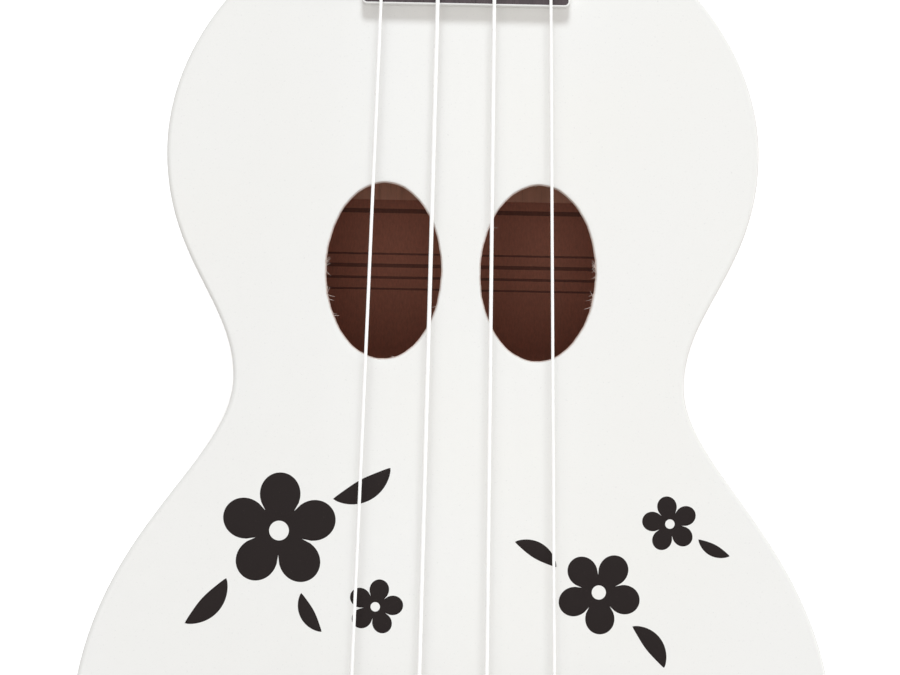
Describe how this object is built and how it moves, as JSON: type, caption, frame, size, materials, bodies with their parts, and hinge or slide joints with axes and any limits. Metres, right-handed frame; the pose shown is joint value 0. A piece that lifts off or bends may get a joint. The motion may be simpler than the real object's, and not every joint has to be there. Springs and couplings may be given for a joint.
{
  "type": "soprano ukulele",
  "caption": "White soprano ukulele with two oval sound holes, a dark fretboard, nylon strings, a slotted bridge and open geared tuners.",
  "frame": {"origin": "centre of the bounding box's underside, in the plane of the back's outer face", "axes": "+X towards the treble side, +Y from the tail to the headstock, +Z out of the soundboard"},
  "size_m": [0.1646, 0.5242, 0.0712],
  "materials": {
    "white_painted_plate": "white satin paint over plywood",
    "white_painted_side": "white satin paint over plywood",
    "white_painted_neck": "white satin paint",
    "bare_wood": "bare",
    "dark_fretboard_wood": "dark stained, oiled",
    "dark_bridge_wood": "dark stained, oiled",
    "nickel_silver": "polished",
    "bone": "polished",
    "clear_nylon": "smooth",
    "plated_steel": "nickel plated",
    "gear_brass": "machined",
    "button_plastic": "polished"
  },
  "bodies": {
    "instrument": {"soundboard": "white_painted_plate", "back": "white_painted_plate", "side_bass": "white_painted_side", "side_treble": "white_painted_side", "neck_block": "bare_wood", "tail_block": "bare_wood", "lining_top_bass": "bare_wood", "lining_top_treble": "bare_wood", "lining_back_bass": "bare_wood", "lining_back_treble": "bare_wood", "top_brace_upper": "bare_wood", "top_brace_lower": "bare_wood", "back_brace_upper": "bare_wood", "back_brace_lower": "bare_wood", "bridge_patch": "bare_wood", "neck": "white_painted_neck", "fretboard": "dark_fretboard_wood", "fret_01": "nickel_silver", "fret_02": "nickel_silver", "fret_03": "nickel_silver", "fret_04": "nickel_silver", "fret_05": "nickel_silver", "fret_06": "nickel_silver", "fret_07": "nickel_silver", "fret_08": "nickel_silver", "fret_09": "nickel_silver", "fret_10": "nickel_silver", "fret_11": "nickel_silver", "fret_12": "nickel_silver", "nut": "bone", "bridge": "dark_bridge_wood", "saddle": "bone", "string_g": "clear_nylon", "tuner_plate_g": "plated_steel", "ferrule_g": "plated_steel", "string_c": "clear_nylon", "tuner_plate_c": "plated_steel", "ferrule_c": "plated_steel", "string_e": "clear_nylon", "tuner_plate_e": "plated_steel", "ferrule_e": "plated_steel", "string_a": "clear_nylon", "tuner_plate_a": "plated_steel", "ferrule_a": "plated_steel"},
    "knob_g": {"worm_shaft_g": "plated_steel", "button_g": "button_plastic"},
    "post_g": {"string_post_g": "plated_steel", "gear_g": "gear_brass"},
    "knob_c": {"worm_shaft_c": "plated_steel", "button_c": "button_plastic"},
    "post_c": {"string_post_c": "plated_steel", "gear_c": "gear_brass"},
    "knob_e": {"worm_shaft_e": "plated_steel", "button_e": "button_plastic"},
    "post_e": {"string_post_e": "plated_steel", "gear_e": "gear_brass"},
    "knob_a": {"worm_shaft_a": "plated_steel", "button_a": "button_plastic"},
    "post_a": {"string_post_a": "plated_steel", "gear_a": "gear_brass"}
  },
  "joints": [
    {"name": "knob_g_turn", "type": "hinge", "parent": "instrument", "child": "knob_g", "pos_m": [-0.0175, 0.16961, 0.03988], "axis": [-1, 0, 0], "continuous": true},
    {"name": "post_g_turn", "type": "hinge", "parent": "instrument", "child": "post_g", "pos_m": [-0.0175, 0.17936, 0.05375], "axis": [0, 0.1736, 0.9848], "continuous": true, "deforming": ["string_g"]},
    {"name": "knob_c_turn", "type": "hinge", "parent": "instrument", "child": "knob_c", "pos_m": [-0.0175, 0.21688, 0.03155], "axis": [-1, 0, 0], "continuous": true},
    {"name": "post_c_turn", "type": "hinge", "parent": "instrument", "child": "post_c", "pos_m": [-0.0175, 0.22664, 0.04541], "axis": [0, 0.1736, 0.9848], "continuous": true, "deforming": ["string_c"]},
    {"name": "knob_e_turn", "type": "hinge", "parent": "instrument", "child": "knob_e", "pos_m": [0.0175, 0.21688, 0.03155], "axis": [1, 0, 0], "continuous": true},
    {"name": "post_e_turn", "type": "hinge", "parent": "instrument", "child": "post_e", "pos_m": [0.0175, 0.22664, 0.04541], "axis": [0, 0.1736, 0.9848], "continuous": true, "deforming": ["string_e"]},
    {"name": "knob_a_turn", "type": "hinge", "parent": "instrument", "child": "knob_a", "pos_m": [0.0175, 0.16961, 0.03988], "axis": [1, 0, 0], "continuous": true},
    {"name": "post_a_turn", "type": "hinge", "parent": "instrument", "child": "post_a", "pos_m": [0.0175, 0.17936, 0.05375], "axis": [0, 0.1736, 0.9848], "continuous": true, "deforming": ["string_a"]}
  ],
  "couplings": [
    {"joint": "post_g_turn", "follows": "knob_g_turn", "ratio": 0.071429},
    {"joint": "post_c_turn", "follows": "knob_c_turn", "ratio": 0.071429},
    {"joint": "post_e_turn", "follows": "knob_e_turn", "ratio": -0.071429},
    {"joint": "post_a_turn", "follows": "knob_a_turn", "ratio": -0.071429}
  ]
}
